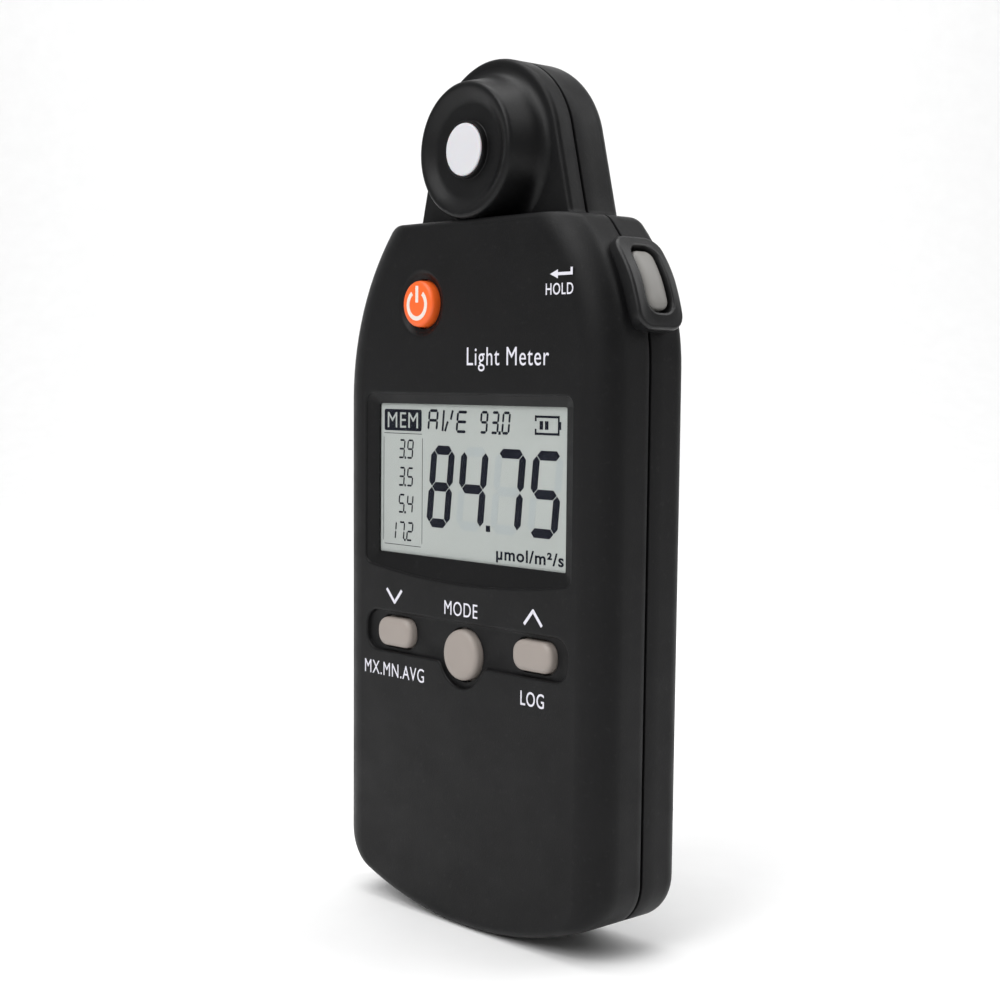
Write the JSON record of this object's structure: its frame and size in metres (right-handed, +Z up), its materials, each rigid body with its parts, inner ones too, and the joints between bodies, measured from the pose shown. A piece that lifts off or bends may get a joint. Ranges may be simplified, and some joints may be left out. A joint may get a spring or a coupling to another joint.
{
  "type": "handheld light meter",
  "caption": "Pocket light meter with a round light sensor on its head, a backlit display, front keys, a side hold key and a battery door on the back.",
  "frame": {"origin": "middle of the flat back face", "axes": "+Z up along the meter's length, -Y out of the front face towards the reader, +X towards the side hold key"},
  "size_m": [0.0644, 0.0191, 0.1392],
  "materials": {
    "case_plastic": "fine matt texture",
    "collar_plastic": "satin, turned look",
    "diffuser_white": "smooth translucent white",
    "filter_glass": "polished",
    "black_plastic": "plain",
    "metal_can": "plated",
    "circuit_board": "solder resist",
    "ribbon": "smooth",
    "window_clear": "clear, hard coated",
    "display_glass": "pale grey display with dark digits",
    "white_plastic": "plain",
    "pink_rubber": "soft",
    "key_orange": "satin",
    "key_grey": "satin warm grey",
    "side_key_grey": "satin grey",
    "cell_sleeve": "printed sleeve, no lettering",
    "plated_metal": "plated",
    "spring_steel": "bright",
    "lead_red": "soft",
    "screw_steel": "zinc plated"
  },
  "bodies": {
    "housing": {"front_shell": "case_plastic", "rear_shell": "case_plastic", "sensor_collar": "collar_plastic", "diffuser": "diffuser_white", "sensor_filter": "filter_glass", "sensor_baffle": "black_plastic", "photodiode": "metal_can", "sensor_board": "circuit_board", "sensor_cable": "ribbon", "display_window": "window_clear", "display_frame": "black_plastic", "display_panel": "display_glass", "display_reflector": "white_plastic", "display_connectors": "pink_rubber", "main_board": "circuit_board", "board_chips": "black_plastic", "buzzer": "black_plastic", "front_switches": "black_plastic", "side_switch": "black_plastic", "side_board": "circuit_board", "hold_bezel": "case_plastic", "battery_cells": "cell_sleeve", "cell_plates": "plated_metal", "cell_springs": "spring_steel", "battery_leads": "lead_red", "housing_screws": "screw_steel", "board_screws": "screw_steel"},
    "power_key": {"power_button": "key_orange", "power_plunger": "black_plastic"},
    "down_key": {"down_button": "key_grey", "down_plunger": "black_plastic"},
    "mode_key": {"mode_button": "key_grey", "mode_plunger": "black_plastic"},
    "up_key": {"up_button": "key_grey", "up_plunger": "black_plastic"},
    "hold_key": {"hold_button": "side_key_grey", "hold_plunger": "black_plastic"},
    "battery_cover": {"battery_door": "case_plastic"}
  },
  "joints": [
    {"name": "power_press", "type": "slide", "parent": "housing", "child": "power_key", "axis": [0, 1, 0], "range_m": [0, 0.0004], "stiffness_N_per_m": 2500},
    {"name": "down_press", "type": "slide", "parent": "housing", "child": "down_key", "axis": [0, 1, 0], "range_m": [0, 0.0004], "stiffness_N_per_m": 2500},
    {"name": "mode_press", "type": "slide", "parent": "housing", "child": "mode_key", "axis": [0, 1, 0], "range_m": [0, 0.0004], "stiffness_N_per_m": 2500},
    {"name": "up_press", "type": "slide", "parent": "housing", "child": "up_key", "axis": [0, 1, 0], "range_m": [0, 0.0004], "stiffness_N_per_m": 2500},
    {"name": "hold_press", "type": "slide", "parent": "housing", "child": "hold_key", "axis": [-0.9272, 0, -0.3746], "range_m": [0, 0.0005], "stiffness_N_per_m": 2500},
    {"name": "battery_cover_swing", "type": "hinge", "parent": "housing", "child": "battery_cover", "pos_m": [0, -0.00095, -0.0589], "axis": [-1, 0, 0], "range_deg": [0, 75]}
  ]
}
